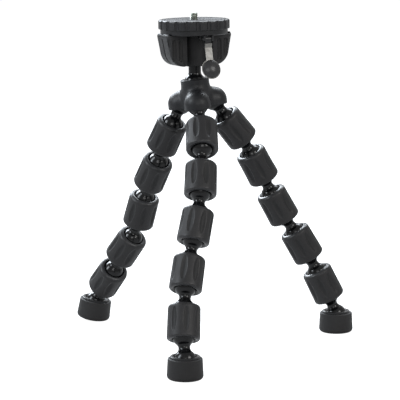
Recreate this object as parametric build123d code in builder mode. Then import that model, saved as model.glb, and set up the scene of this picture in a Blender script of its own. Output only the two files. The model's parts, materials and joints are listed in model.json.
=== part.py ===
from build123d import *
import math
import os

# A table-top camera tripod with flexible legs.
# Millimetres, Z up, the floor at Z = 0 and the middle of the stance at the origin.

# Ball joints of the legs
ball_radius = 8.6
ball_clearance = 0.15
socket_depth = 3.6
socket_mouth_angle = 74.0

# Links: a ball at each end and a concave neck between them
link_spacing = 18.7
link_neck_radius = 4.4

# Beads: a barrel with a socket in each end, under a grooved grip
bead_length = 27.0
bead_top_radius = 12.2
bead_bottom_radius = 12.6
bead_top_flare = 0.6
bead_bottom_flare = 2.0
bead_rim_rounding = 3.0
groove_count = 8
groove_length = 18.0
groove_width = 3.5
groove_depth = 0.8
groove_centre_share = 0.47

# Feet: a rubber cup round a socket ring
foot_height = 16.0
foot_top_radius = 13.05
foot_bottom_radius = 13.9
foot_edge_rounding = 3.0
foot_lip_rounding = 0.8
ring_radius = 11.2
ring_stand = 1.6
ring_flare = 0.8
ring_floor = 1.5
ring_chamfer = 0.4

# Hub: three domed lobes round a post
hub_tilt = 7.0
leg_circle_radius = 15.0
lobe_headings = (30.0, 150.0, 270.0)
lobe_radius = 10.2
lobe_flare = 0.7
post_radius = 11.2
post_chamfer = 0.6
crease_rounding = 1.2
head_ball_height = 15.6

# Rest pose of each leg from the hub down: link, bead, link and so on to the foot.
# Each pair is the lean from straight down and the heading that it leans to, in degrees.
right_pose = (
    (36, 19), (42, 26), (35, 35), (33, 31), (28, 26), (31, 20),
    (36, 16), (32, 15), (29, 14), (28, 15), (22, 13), (0, 26),
)
left_pose = (
    (24, 176), (33, 133), (32, 116), (37, 124), (31, 119), (26, 122),
    (27, 134), (42, 135), (36, 131), (48, 123), (32, 139), (10, 156),
)
front_pose = (
    (32, 289), (45, 272), (39, 266), (34, 267), (31, 259), (30, 249),
    (31, 251), (33, 256), (30, 263), (27, 267), (23, 280), (0, 270),
)
leg_poses = {"right": right_pose, "left": left_pose, "front": front_pose}
stance_share = 0.856

# Head: heights are measured up from the centre of its ball
head_turn = 25.0
head_lean = 1.0
stud_neck_radius = 4.9
stud_thread_radius = 3.0
stud_end = 33.0
stud_fillet_radius = 3.5
running_gap = 0.15
fit_gap = 0.05
nut_flats = 10.0
nut_height = 4.0
core_radius = 9.7
core_bottom = 13.7
core_floor = 13.5
core_bore_radius = 6.6
core_rounding = 1.0
collar_radius = 26.35
collar_bottom = 38.6
collar_thickness = 4.0
collar_chamfer = 0.5

# Wheel and camera screw
wheel_radius = 27.85
wheel_gap = 0.2
wheel_height = 7.1
wheel_floor = 3.2
wheel_recess_radius = 25.2
wheel_top_rounding = 1.3
wheel_foot_rounding = 0.5
notch_count = 20
notch_radius = 2.0
notch_depth = 1.2
disc_thickness = 3.0
pad_thickness = 0.9
pad_gap = 0.2
camera_screw_radius = 3.175
camera_screw_reach = 5.2
camera_screw_chamfer = 0.6
screw_shoulder_step = 0.4
screw_flange_radius = 7.0
screw_flange_height = 1.6
screw_shaft_radius = 3.1
screw_shaft_end = 34.2
clip_radius = 5.0
clip_height = 0.7
clip_groove_depth = 0.7

# Side grips: seen from the front each is a wall that leans outwards, with a wide rounding at its foot
grip_inner = 10.9
grip_bottom = 14.2
grip_top = 40.8
grip_top_reach = 28.4
grip_foot_reach = 23.2
grip_foot_rounding = 12.0
grip_top_rounding = 2.2
grip_edge_rounding = 2.6
grip_half_thickness = 10.9
flute_reaches = (16.5, 21.9)
flute_radius = 1.2
flute_depth = 0.7
flute_bottom = 20.0
flute_top = 33.6
seam_width = 1.4
seam_depth = 0.6
seam_bottom = 15.6
seam_top = 36.5
grip_screw_radius = 1.1
grip_screw_head_radius = 2.2
grip_screw_length = 10.0
grip_screw_across = 18.6
grip_screw_along = 5.5

# Locking lever at the front of the collar
pin_radius = 0.7
pin_setback = 1.15
pin_drop = 2.4
ear_radius = 1.8
ear_thickness = 1.6
cam_width = 5.0
cam_radius = 1.7
cam_offset = 0.5
cam_gap = 0.15
cam_tongue_thickness = 1.8
cam_tongue_length = 6.4
cam_tongue_lean = 10.0
arm_width = 5.8
arm_thickness = 0.9
arm_length = 9.5
arm_lean = 13.0
paddle_radius = 7.7
paddle_lean = 20.0
paddle_rim = 0.5
paddle_dome = 2.6
paddle_edge = 0.8
rod_radius = 1.1

# Every cut runs on past the surface by this much
overrun = 5.0

os.makedirs("parts", exist_ok=True)

# Sizes that follow from those above
socket_radius = ball_radius + ball_clearance
socket_spacing = bead_length - 2 * socket_depth
ball_to_sole = foot_height - (socket_depth - ring_stand)
mouth = math.radians(socket_mouth_angle)
mouth_radius = socket_radius * math.sin(mouth)
mouth_depth = socket_radius * math.cos(mouth)
pin_forward = collar_radius - pin_setback


def slope(lean, heading):
    # The direction that leans from straight down by lean, towards heading
    tip = math.radians(lean)
    turn = math.radians(heading)
    return Vector(math.sin(tip) * math.cos(turn), math.sin(tip) * math.sin(turn), -math.cos(tip))


def walk_leg(start, pose, spread):
    # Ball centres down a leg and the direction of each piece, with every lean but the foot's
    # multiplied by spread
    points = [start]
    directions = []
    for place, (lean, heading) in enumerate(pose[:-1]):
        direction = slope(lean * spread, heading)
        step = link_spacing if place % 2 == 0 else socket_spacing
        directions.append(direction)
        points.append(points[-1] + direction * step)
    directions.append(slope(*pose[-1]))
    return points, directions


def foot_reach(lean):
    # How far below the centre of its ball a leaning foot touches the floor
    tip = math.radians(lean)
    edge = foot_edge_rounding
    return (ball_to_sole - edge) * math.cos(tip) + (foot_bottom_radius - edge) * math.sin(tip) + edge


def spread_to_floor(start, pose):
    # The spread with which the leg's foot just stands on the floor
    low = 0
    high = 2
    for _ in range(50):
        middle = (low + high) / 2
        points, _ = walk_leg(start, pose, middle)
        if points[-1].Z < foot_reach(pose[-1][0]):
            low = middle
        else:
            high = middle
    return middle


def axis_plane(point, direction, heading):
    # A plane whose Y runs along direction and whose X is level, square to heading
    turn = math.radians(heading)
    level = Vector(-math.sin(turn), math.cos(turn), 0)
    return Plane(origin=point, x_dir=level, z_dir=level.cross(direction))


def flipped(plane, shift):
    # The plane turned end for end and moved along its old Y
    return Plane(origin=plane.origin + plane.y_dir * shift, x_dir=plane.x_dir, z_dir=-plane.z_dir)


def y_axis(plane, side=0):
    # The axis along the plane's Y, moved sideways along its X
    return Axis(plane.origin + plane.x_dir * side, plane.y_dir)


def save(piece, name):
    piece.part.label = name
    export_step(piece.part, "parts/" + name + ".step")


def cut_socket(plane, flare):
    # A ball socket: the plane's origin is the ball's centre and its Y points into the solid
    opening = mouth_radius + flare
    with BuildSketch(plane) as profile:
        with BuildLine():
            ThreePointArc((0, socket_radius), (socket_radius, 0), (mouth_radius, -mouth_depth))
            Polyline(
                (mouth_radius, -mouth_depth),
                (opening, -socket_depth),
                (opening, -socket_depth - overrun),
                (0, -socket_depth - overrun),
                (0, socket_radius),
            )
        make_face()
    revolve(profile.sketch, axis=y_axis(plane), mode=Mode.SUBTRACT)


def make_link(name, plane):
    # The neck is an arc that runs smoothly into both balls
    half = link_spacing / 2
    neck_arc = (half**2 + link_neck_radius**2 - ball_radius**2) / (2 * (ball_radius - link_neck_radius))
    reach = ball_radius / (ball_radius + neck_arc)
    touch_radius = (link_neck_radius + neck_arc) * reach
    touch_height = half * reach
    with BuildPart() as link:
        with BuildSketch(plane):
            with BuildLine():
                ThreePointArc((0, -ball_radius), (ball_radius, 0), (touch_radius, touch_height))
                ThreePointArc(
                    (touch_radius, touch_height),
                    (link_neck_radius, half),
                    (touch_radius, link_spacing - touch_height),
                )
                ThreePointArc(
                    (touch_radius, link_spacing - touch_height),
                    (ball_radius, link_spacing),
                    (0, link_spacing + ball_radius),
                )
                Line((0, link_spacing + ball_radius), (0, -ball_radius))
            make_face()
        revolve(axis=y_axis(plane))
    save(link, name)


def cut_grooves(plane):
    # Almond grooves, repeated round the bead: a round tool that follows a wide arc and only dips
    # into the wall
    wall = (bead_top_radius + bead_bottom_radius) / 2
    bottom = wall - groove_depth
    middle = bead_length * groove_centre_share - socket_depth
    tool_radius = ((groove_width / 2) ** 2 + groove_depth**2) / (2 * groove_depth)
    arc_radius = ((groove_length / 2) ** 2 + groove_depth**2) / (2 * groove_depth)
    centre = plane.origin + plane.y_dir * middle
    for place in range(groove_count):
        outward = plane.x_dir.rotate(y_axis(plane), (place + 0.5) * 360 / groove_count)
        with BuildSketch(Plane(origin=centre, x_dir=outward, z_dir=plane.y_dir)) as tool:
            with Locations((bottom + tool_radius, 0)):
                Circle(tool_radius)
        across = Axis(centre + outward * (bottom + arc_radius), outward.cross(plane.y_dir))
        revolve(tool.sketch, axis=across, mode=Mode.SUBTRACT)


def make_bead(name, plane):
    top = -socket_depth
    bottom = bead_length - socket_depth
    top_wall = bead_top_radius - mouth_radius - bead_top_flare
    bottom_wall = bead_bottom_radius - mouth_radius - bead_bottom_flare
    with BuildPart() as bead:
        with BuildSketch(plane) as outline:
            with BuildLine():
                Polyline(
                    (0, top),
                    (bead_top_radius, top),
                    (bead_bottom_radius, bottom),
                    (0, bottom),
                    close=True,
                )
            make_face()
            rim_corners = outline.vertices().sort_by(Axis.X)[-2:].sort_by(Axis.Y)
            fillet(rim_corners[0], min(bead_rim_rounding, 0.9 * top_wall))
            rim_corners = outline.vertices().sort_by(Axis.Y)[-2:].sort_by(Axis.X)
            fillet(rim_corners[-1], min(bead_rim_rounding, 0.9 * bottom_wall))
        revolve(axis=y_axis(plane))
        cut_socket(plane, bead_top_flare)
        cut_socket(flipped(plane, socket_spacing), bead_bottom_flare)
        cut_grooves(plane)
    save(bead, name)


def make_foot(side, plane):
    rubber_top = ring_stand - socket_depth
    ring_bottom = socket_radius + ring_floor
    bore = ring_radius + fit_gap
    with BuildPart() as ring:
        with BuildSketch(plane):
            with BuildLine():
                Polyline(
                    (0, -socket_depth),
                    (ring_radius - ring_chamfer, -socket_depth),
                    (ring_radius, ring_chamfer - socket_depth),
                    (ring_radius, ring_bottom),
                    (0, ring_bottom),
                    (0, -socket_depth),
                )
            make_face()
        revolve(axis=y_axis(plane))
        cut_socket(plane, ring_flare)
    save(ring, side + "_foot_ring")

    with BuildPart() as rubber:
        with BuildSketch(plane) as cup:
            with BuildLine():
                Polyline(
                    (0, ring_bottom),
                    (bore, ring_bottom),
                    (bore, rubber_top),
                    (foot_top_radius, rubber_top),
                    (foot_bottom_radius, ball_to_sole),
                    (0, ball_to_sole),
                    (0, ring_bottom),
                )
            make_face()
            sole_corner = cup.vertices().sort_by(Axis.X)[-1]
            fillet(sole_corner, foot_edge_rounding)
            lip_corner = cup.vertices().sort_by(Axis.Y)[:2].sort_by(Axis.X)[-1]
            fillet(lip_corner, min(foot_lip_rounding, 0.6 * (foot_top_radius - bore)))
        revolve(axis=y_axis(plane))
    save(rubber, side + "_foot_rubber")


# Where the hub stands: its height follows the legs, and the stance is centred on the origin
tip = math.radians(hub_tilt)
hub_side = Vector(math.cos(tip), 0, math.sin(tip))
hub_back = Vector(0, 1, 0)
hub_up = Vector(-math.sin(tip), 0, math.cos(tip))
straight_leg = 6 * link_spacing + 5 * socket_spacing + ball_to_sole
hub_height = straight_leg * stance_share


def leg_socket(centre, heading):
    turn = math.radians(heading)
    return centre + (hub_side * math.cos(turn) + hub_back * math.sin(turn)) * leg_circle_radius


def lay_out(centre):
    # The three legs from a hub at centre
    legs = {}
    for (side, pose), heading in zip(leg_poses.items(), lobe_headings):
        start = leg_socket(centre, heading)
        legs[side] = walk_leg(start, pose, spread_to_floor(start, pose))
    return legs


def sole_centre(leg):
    points, directions = leg
    return points[-1] + directions[-1] * ball_to_sole


soles = [sole_centre(leg) for leg in lay_out(Vector(0, 0, hub_height)).values()]
middle_x = (min(sole.X for sole in soles) + max(sole.X for sole in soles)) / 2
middle_y = (min(sole.Y for sole in soles) + max(sole.Y for sole in soles)) / 2
hub_centre = Vector(-middle_x, -middle_y, hub_height)
legs = lay_out(hub_centre)

# Legs
for side, (points, directions) in legs.items():
    pose = leg_poses[side]
    for place, point in enumerate(points):
        plane = axis_plane(point, directions[place], pose[place][1])
        number = str(place // 2 + 1)
        if place == len(points) - 1:
            make_foot(side, plane)
        elif place % 2 == 0:
            make_link(side + "_link_" + number, plane)
        else:
            make_bead(side + "_bead_" + number, plane)

def is_crease(edge):
    # Whether an edge lies between a lobe and the post: off the rims, and not the seam up the post
    place = edge.position_at(0.5) - hub_centre
    height = place.dot(hub_up)
    reach = (place - hub_up * height).length
    on_post = abs(reach - post_radius) < fit_gap
    return on_post and edge.geom_type != GeomType.CIRCLE and (edge.geom_type != GeomType.LINE or height < 0)


# Hub housing
head_ball = hub_centre + hub_up * head_ball_height
hub_front = -hub_back
with BuildPart() as hub_housing:
    post_plane = Plane(origin=hub_centre, x_dir=hub_side, z_dir=hub_front)
    post_top = head_ball_height + socket_depth
    with BuildSketch(post_plane):
        with BuildLine():
            Polyline(
                (0, -socket_depth),
                (post_radius, -socket_depth),
                (post_radius, post_top - post_chamfer),
                (post_radius - post_chamfer, post_top),
                (0, post_top),
                (0, -socket_depth),
            )
        make_face()
    revolve(axis=y_axis(post_plane))
    lobe_planes = [
        Plane(origin=leg_socket(hub_centre, heading), x_dir=hub_side, z_dir=hub_front)
        for heading in lobe_headings
    ]
    for lobe_plane in lobe_planes:
        with BuildSketch(lobe_plane):
            with BuildLine():
                Polyline(
                    (0, lobe_radius),
                    (0, -socket_depth),
                    (lobe_radius, -socket_depth),
                    (lobe_radius, 0),
                )
                CenterArc((0, 0), lobe_radius, 0, 90)
            make_face()
        revolve(axis=y_axis(lobe_plane))
    fillet(hub_housing.edges().filter_by(is_crease), crease_rounding)
    for lobe_plane in lobe_planes:
        cut_socket(lobe_plane, lobe_flare)
    cut_socket(flipped(post_plane, head_ball_height), lobe_flare)
save(hub_housing, "hub_housing")

# Head frame: X to the side, front towards the lever, all measured from the head's ball.
# The head turns on its ball and leans a little to the left.
turn = math.radians(head_turn)
lean = math.radians(head_lean)
leaning_side = Vector(math.cos(lean), 0, math.sin(lean))
head_side = leaning_side * math.cos(turn) + hub_back * math.sin(turn)
head_front = leaning_side * math.sin(turn) - hub_back * math.cos(turn)
up = Vector(-math.sin(lean), 0, math.cos(lean))
upright = Plane(origin=head_ball, x_dir=head_side, z_dir=head_front)
profile_plane = Plane(origin=head_ball, x_dir=head_front, z_dir=-head_side)


def level_plane(height):
    # A level plane at a height above the ball, X to the side and Y to the back
    return Plane(origin=head_ball + up * height, x_dir=head_side, z_dir=up)


collar_top = collar_bottom + collar_thickness
wheel_bottom = collar_top + wheel_gap
wheel_top = wheel_bottom + wheel_height
floor_height = core_bottom + core_floor
stud_shoulder = floor_height + wheel_gap

# Head stud: ball, neck, spigot and threaded end
with BuildPart() as head_stud:
    fillet_reach = ball_radius + stud_fillet_radius
    fillet_side = stud_neck_radius + stud_fillet_radius
    fillet_height = math.sqrt(fillet_reach**2 - fillet_side**2)
    touch_share = ball_radius / fillet_reach
    stud_touch = (fillet_side * touch_share, fillet_height * touch_share)
    fillet_middle = (
        fillet_side + stud_fillet_radius * math.cos(math.pi + math.atan2(fillet_height, fillet_side) / 2),
        fillet_height + stud_fillet_radius * math.sin(math.pi + math.atan2(fillet_height, fillet_side) / 2),
    )
    with BuildSketch(upright):
        with BuildLine():
            ThreePointArc((0, -ball_radius), (ball_radius, 0), stud_touch)
            ThreePointArc(stud_touch, fillet_middle, (stud_neck_radius, fillet_height))
            Polyline(
                (stud_neck_radius, fillet_height),
                (stud_neck_radius, stud_shoulder),
                (stud_thread_radius, stud_shoulder),
                (stud_thread_radius, stud_end),
                (0, stud_end),
                (0, -ball_radius),
            )
        make_face()
    revolve(axis=y_axis(upright))
save(head_stud, "head_stud")

# Stud nut on the shoulder of the stud
with BuildPart() as stud_nut:
    with BuildSketch(level_plane(stud_shoulder)):
        RegularPolygon(nut_flats / 2, 6, major_radius=False)
        Circle(stud_thread_radius + fit_gap, mode=Mode.SUBTRACT)
    extrude(amount=nut_height)
save(stud_nut, "stud_nut")

# Head body: the core and the collar, with the ears of the lever and the bore of the lock rod
pin_height = collar_bottom - pin_drop
ear_inner = cam_width / 2 + cam_gap
with BuildPart() as head_body:
    stud_bore = stud_neck_radius + running_gap
    with BuildSketch(upright):
        with BuildLine():
            Polyline(
                (stud_bore, core_bottom),
                (core_radius, core_bottom),
                (core_radius, collar_bottom),
                (collar_radius - collar_chamfer, collar_bottom),
                (collar_radius, collar_bottom + collar_chamfer),
                (collar_radius, collar_top),
                (core_bore_radius, collar_top),
                (core_bore_radius, floor_height),
                (stud_bore, floor_height),
                (stud_bore, core_bottom),
            )
        make_face()
    revolve(axis=y_axis(upright))
    fillet(head_body.edges().sort_by(Axis.Z)[:2].sort_by(SortBy.RADIUS)[-1], core_rounding)
    for direction in (-1, 1):
        ear_start = direction * ear_inner
        ear_plane = Plane(origin=head_ball + head_side * ear_start, x_dir=head_front, z_dir=-head_side)
        with BuildSketch(ear_plane):
            with Locations((pin_forward, pin_height)):
                Circle(ear_radius)
            with Locations((pin_forward, collar_bottom)):
                Rectangle(2 * ear_radius, pin_drop, align=(Align.CENTER, Align.MAX))
            with Locations((pin_forward, pin_height)):
                Circle(pin_radius + fit_gap, mode=Mode.SUBTRACT)
        extrude(amount=-direction * ear_thickness)
    rod_plane = Plane(origin=head_ball + up * pin_height, x_dir=head_side, z_dir=head_front)
    with BuildSketch(rod_plane):
        Circle(rod_radius + running_gap)
    extrude(amount=core_radius + overrun, mode=Mode.SUBTRACT)
    with BuildSketch(level_plane(collar_bottom)):
        with GridLocations(2 * grip_screw_across, 2 * grip_screw_along, 2, 2):
            Circle(grip_screw_radius + fit_gap)
    extrude(amount=collar_thickness, mode=Mode.SUBTRACT)
    sink = grip_screw_head_radius - grip_screw_radius
    with BuildSketch(level_plane(collar_top)):
        with GridLocations(2 * grip_screw_across, 2 * grip_screw_along, 2, 2):
            Circle(grip_screw_head_radius + fit_gap)
    extrude(amount=-sink, taper=45, mode=Mode.SUBTRACT)
save(head_body, "head_body")

# Screw bush: closes the bore and carries the shaft of the camera screw
with BuildPart() as screw_bush:
    with BuildSketch(level_plane(collar_bottom)):
        Circle(core_bore_radius - fit_gap)
        Circle(screw_shaft_radius + running_gap, mode=Mode.SUBTRACT)
    extrude(amount=collar_thickness)
save(screw_bush, "screw_bush")


def side_distance(edge):
    # How far the middle of an edge lies to the side of the head's axis
    return (edge.position_at(0.5) - head_ball).dot(head_side)


def front_distance(edge):
    # How far the middle of an edge lies in front of the head's axis
    return (edge.position_at(0.5) - head_ball).dot(head_front)


# Side grips: a block on each side of the head, fluted front and back, with a seam down its outer side
def grip_outline(direction):
    # A grip seen from the front
    with BuildSketch(upright) as outline:
        with BuildLine():
            Polyline(
                (direction * grip_inner, grip_bottom),
                (direction * grip_foot_reach, grip_bottom),
                (direction * grip_top_reach, grip_top),
                (direction * grip_inner, grip_top),
                (direction * grip_inner, grip_bottom),
            )
        make_face()
        foot_corner, top_corner = sorted(outline.vertices(), key=lambda corner: direction * corner.X)[-2:]
        fillet(foot_corner, grip_foot_rounding)
        fillet(top_corner, grip_top_rounding)
    return outline


def make_grip(name, direction):
    outline = grip_outline(direction)
    flute_side = grip_half_thickness + flute_radius - flute_depth
    flute_places = [(direction * reach, side * flute_side) for reach in flute_reaches for side in (-1, 1)]
    seam_start = flute_reaches[0]
    seam_reach = grip_top_reach + overrun - seam_start
    with BuildPart() as grip:
        extrude(outline.sketch, amount=grip_half_thickness, both=True)
        face_reach = grip_half_thickness - fit_gap
        outer_reach = grip_foot_reach - grip_edge_rounding
        face_edges = [edge for edge in grip.edges() if abs(front_distance(edge)) > face_reach]
        outer_edges = [edge for edge in face_edges if abs(side_distance(edge)) > outer_reach]
        fillet(outer_edges, grip_edge_rounding)
        with BuildSketch(upright):
            with Locations((direction * (seam_start + seam_reach / 2), (seam_bottom + seam_top) / 2)):
                Rectangle(seam_reach, seam_top - seam_bottom)
            offset(outline.sketch_local, amount=-seam_depth, mode=Mode.SUBTRACT)
        extrude(amount=seam_width / 2, both=True, mode=Mode.SUBTRACT)
        with BuildSketch(level_plane(flute_bottom)):
            with Locations(*flute_places):
                Circle(flute_radius)
        extrude(amount=flute_top - flute_bottom, mode=Mode.SUBTRACT)
        for flute_end in (flute_bottom, flute_top):
            with Locations(*[level_plane(flute_end) * Pos(*place) for place in flute_places]):
                Sphere(flute_radius, mode=Mode.SUBTRACT)
        with BuildSketch(level_plane(collar_bottom)):
            Circle(collar_radius + running_gap)
        extrude(amount=collar_thickness, mode=Mode.SUBTRACT)
        with BuildSketch(level_plane(collar_bottom)):
            with GridLocations(2 * grip_screw_across, 2 * grip_screw_along, 2, 2):
                Circle(grip_screw_radius + fit_gap)
        extrude(amount=-(grip_screw_length - collar_thickness + fit_gap), mode=Mode.SUBTRACT)
    save(grip, name)


make_grip("left_grip", -1)
make_grip("right_grip", 1)

# Grip screws, four alike, flush with the top of the collar
with BuildPart() as grip_screws:
    with BuildSketch(level_plane(collar_top)):
        with GridLocations(2 * grip_screw_across, 2 * grip_screw_along, 2, 2):
            Circle(grip_screw_radius)
    extrude(amount=-grip_screw_length)
    with BuildSketch(level_plane(collar_top)):
        with GridLocations(2 * grip_screw_across, 2 * grip_screw_along, 2, 2):
            Circle(grip_screw_head_radius)
    extrude(amount=-(grip_screw_head_radius - grip_screw_radius), taper=45)
save(grip_screws, "grip_screws")


def widest_circles(piece):
    # The widest round edges of a piece, from the lowest up
    return piece.edges().filter_by(GeomType.CIRCLE).group_by(SortBy.RADIUS)[-1].sort_by(Axis.Z)


# Knurled wheel with a raised rim
shaft_bore = screw_shaft_radius + fit_gap
flange_bottom = wheel_bottom + wheel_floor - screw_flange_height
disc_bottom = wheel_bottom + wheel_floor
with BuildPart() as knurled_wheel:
    with BuildSketch(upright):
        with BuildLine():
            Polyline(
                (shaft_bore, wheel_bottom),
                (wheel_radius, wheel_bottom),
                (wheel_radius, wheel_top),
                (wheel_recess_radius, wheel_top),
                (wheel_recess_radius, disc_bottom),
                (screw_flange_radius + fit_gap, disc_bottom),
                (screw_flange_radius + fit_gap, flange_bottom),
                (shaft_bore, flange_bottom),
                (shaft_bore, wheel_bottom),
            )
        make_face()
    revolve(axis=y_axis(upright))
    fillet(widest_circles(knurled_wheel)[-1], wheel_top_rounding)
    fillet(widest_circles(knurled_wheel)[0], wheel_foot_rounding)
    with BuildSketch(level_plane(wheel_bottom)):
        with PolarLocations(wheel_radius + notch_radius - notch_depth, notch_count):
            Circle(notch_radius)
    extrude(amount=wheel_height, mode=Mode.SUBTRACT)
save(knurled_wheel, "knurled_wheel")

# Plate disc in the wheel's recess
disc_top = disc_bottom + disc_thickness
shoulder_radius = camera_screw_radius + screw_shoulder_step
with BuildPart() as plate_disc:
    with BuildSketch(level_plane(disc_bottom)):
        Circle(wheel_recess_radius - fit_gap)
        Circle(shoulder_radius + fit_gap, mode=Mode.SUBTRACT)
    extrude(amount=disc_thickness)
save(plate_disc, "plate_disc")

# Rubber pad on the disc
with BuildPart() as rubber_pad:
    with BuildSketch(level_plane(disc_top)):
        Circle(wheel_recess_radius - pad_gap)
        Circle(shoulder_radius + pad_gap, mode=Mode.SUBTRACT)
    extrude(amount=pad_thickness)
save(rubber_pad, "rubber_pad")

# Camera screw with its flange and shaft
screw_top = wheel_top + camera_screw_reach
clip_top = collar_bottom - wheel_gap
clip_bottom = clip_top - clip_height
clip_seat = screw_shaft_radius - clip_groove_depth
with BuildPart() as camera_screw:
    with BuildSketch(upright):
        with BuildLine():
            Polyline(
                (0, screw_shaft_end),
                (screw_shaft_radius, screw_shaft_end),
                (screw_shaft_radius, clip_bottom),
                (clip_seat, clip_bottom),
                (clip_seat, clip_top),
                (screw_shaft_radius, clip_top),
                (screw_shaft_radius, flange_bottom),
                (screw_flange_radius, flange_bottom),
                (screw_flange_radius, disc_bottom),
                (shoulder_radius, disc_bottom),
                (shoulder_radius, disc_top + pad_thickness),
                (camera_screw_radius, disc_top + pad_thickness),
                (camera_screw_radius, screw_top - camera_screw_chamfer),
                (camera_screw_radius - camera_screw_chamfer, screw_top),
                (0, screw_top),
                (0, screw_shaft_end),
            )
        make_face()
    revolve(axis=y_axis(upright))
save(camera_screw, "camera_screw")

# Clip in the groove of the shaft, below the bush
with BuildPart() as screw_clip:
    with BuildSketch(level_plane(clip_bottom + fit_gap)):
        Circle(clip_radius)
        Circle(clip_seat + fit_gap, mode=Mode.SUBTRACT)
    extrude(amount=clip_height - 2 * fit_gap)
save(screw_clip, "screw_clip")

# Lever pin through the ears
pin_length = 2 * (ear_inner + ear_thickness)
pin_plane = Plane(
    origin=head_ball + up * pin_height + head_front * pin_forward - head_side * (pin_length / 2),
    x_dir=head_front,
    z_dir=head_side,
)
with BuildPart() as lever_pin:
    with BuildSketch(pin_plane):
        Circle(pin_radius)
    extrude(amount=pin_length)
save(lever_pin, "lever_pin")


def lean_point(start, lean, length):
    # A point on the lever's side view, down from start and forward by the lean
    angle = math.radians(lean)
    return (start[0] + length * math.sin(angle), start[1] - length * math.cos(angle))


# Lever cam: an eccentric round the pin with a tongue that runs down from it
pin_point = (pin_forward, pin_height)
cam_point = (pin_forward - cam_offset, pin_height)
tongue_end = lean_point(pin_point, -cam_tongue_lean, cam_tongue_length)
with BuildPart() as lever_cam:
    with BuildSketch(profile_plane):
        with Locations(cam_point):
            Circle(cam_radius)
        with BuildLine():
            middle_line = Line(pin_point, tongue_end)
        trace(line_width=cam_tongue_thickness)
        with Locations(pin_point):
            Circle(pin_radius + fit_gap, mode=Mode.SUBTRACT)
    extrude(amount=cam_width / 2, both=True)
save(lever_cam, "lever_cam")

# Lever arm: a bright strip lapped on the front of the tongue, with a round plate at its end
arm_shift = (cam_tongue_thickness + arm_thickness) / 2 + fit_gap
lap = cam_tongue_length / 2
lap_angle = math.radians(-cam_tongue_lean)
lap_start = lean_point(pin_point, -cam_tongue_lean, cam_tongue_length - lap)
lap_start = (lap_start[0] + arm_shift * math.cos(lap_angle), lap_start[1] + arm_shift * math.sin(lap_angle))
lap_end = lean_point(lap_start, -cam_tongue_lean, lap)
arm_end = lean_point(lap_end, arm_lean, arm_length)
paddle_centre = lean_point(arm_end, paddle_lean, paddle_radius)
paddle_angle = math.radians(paddle_lean)
paddle_out = Vector(*head_front) * math.cos(paddle_angle) + up * math.sin(paddle_angle)
paddle_origin = head_ball + head_front * paddle_centre[0] + up * paddle_centre[1]
paddle_plane = Plane(origin=paddle_origin, x_dir=head_side, z_dir=paddle_out)
with BuildPart() as lever_arm:
    with BuildSketch(profile_plane):
        with BuildLine():
            FilletPolyline(lap_start, lap_end, arm_end, paddle_centre, radius=2 * arm_thickness)
        trace(line_width=arm_thickness)
    extrude(amount=arm_width / 2, both=True)
    with BuildSketch(paddle_plane.offset(-arm_thickness / 2)):
        Circle(paddle_radius)
    extrude(amount=arm_thickness)
save(lever_arm, "lever_arm")

# Lever paddle: a domed cap on the plate, a little smaller so that a thin bright rim shows
cap_radius = paddle_radius - paddle_rim
cap_base = arm_thickness / 2
dome_top = cap_base + paddle_edge + paddle_dome
cap_plane = Plane(origin=paddle_origin, x_dir=head_side, z_dir=head_side.cross(paddle_out))
with BuildPart() as lever_paddle:
    with BuildSketch(cap_plane):
        with BuildLine():
            Polyline(
                (0, dome_top),
                (0, cap_base),
                (cap_radius, cap_base),
                (cap_radius, cap_base + paddle_edge),
            )
            dome_radius = (cap_radius**2 + paddle_dome**2) / (2 * paddle_dome)
            half_way = math.asin(cap_radius / dome_radius) / 2
            dome_crest = (
                dome_radius * math.sin(half_way),
                dome_top - dome_radius * (1 - math.cos(half_way)),
            )
            ThreePointArc((0, dome_top), dome_crest, (cap_radius, cap_base + paddle_edge))
        make_face()
    revolve(axis=y_axis(cap_plane))
save(lever_paddle, "lever_paddle")

# Lock rod between the cam and the shaft of the camera screw
rod_start = screw_shaft_radius + running_gap
rod_end = pin_forward - cam_offset - cam_radius - cam_gap
with BuildPart() as lock_rod:
    with BuildSketch(rod_plane.offset(rod_start)):
        Circle(rod_radius)
    extrude(amount=rod_end - rod_start)
save(lock_rod, "lock_rod")
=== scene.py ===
import json
import math

import bpy
import numpy as np
from mathutils import Matrix, Vector


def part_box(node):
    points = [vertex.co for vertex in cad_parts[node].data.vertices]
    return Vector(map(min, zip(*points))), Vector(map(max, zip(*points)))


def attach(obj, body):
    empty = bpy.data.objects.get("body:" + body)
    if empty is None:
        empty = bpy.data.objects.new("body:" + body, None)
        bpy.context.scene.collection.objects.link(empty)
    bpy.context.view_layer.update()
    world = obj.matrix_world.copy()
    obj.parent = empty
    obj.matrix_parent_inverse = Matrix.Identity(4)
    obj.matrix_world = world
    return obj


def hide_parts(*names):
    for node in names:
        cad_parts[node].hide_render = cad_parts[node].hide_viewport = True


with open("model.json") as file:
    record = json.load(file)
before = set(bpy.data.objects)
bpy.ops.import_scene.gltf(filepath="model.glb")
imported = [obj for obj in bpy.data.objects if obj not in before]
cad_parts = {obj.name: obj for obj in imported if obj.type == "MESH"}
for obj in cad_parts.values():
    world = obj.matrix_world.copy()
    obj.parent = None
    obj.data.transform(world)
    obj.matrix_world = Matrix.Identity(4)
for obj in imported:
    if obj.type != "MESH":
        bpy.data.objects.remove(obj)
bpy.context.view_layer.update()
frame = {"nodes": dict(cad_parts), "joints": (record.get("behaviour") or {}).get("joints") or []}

mm = 0.001               # the sizes in the dictionaries below are millimetres, unless a note says otherwise
scene = bpy.context.scene
joints = {joint["name"]: joint for joint in frame["joints"]}
legs = ("right", "left", "front")


def jointPlace(name):
    return Vector(joints[name]["pos_m"])


def jointAxis(name):
    return Vector(joints[name]["axis"]).normalized()


hubCentre = sum((jointPlace(leg + "_link_1_bend") for leg in legs), Vector()) / 3

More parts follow.
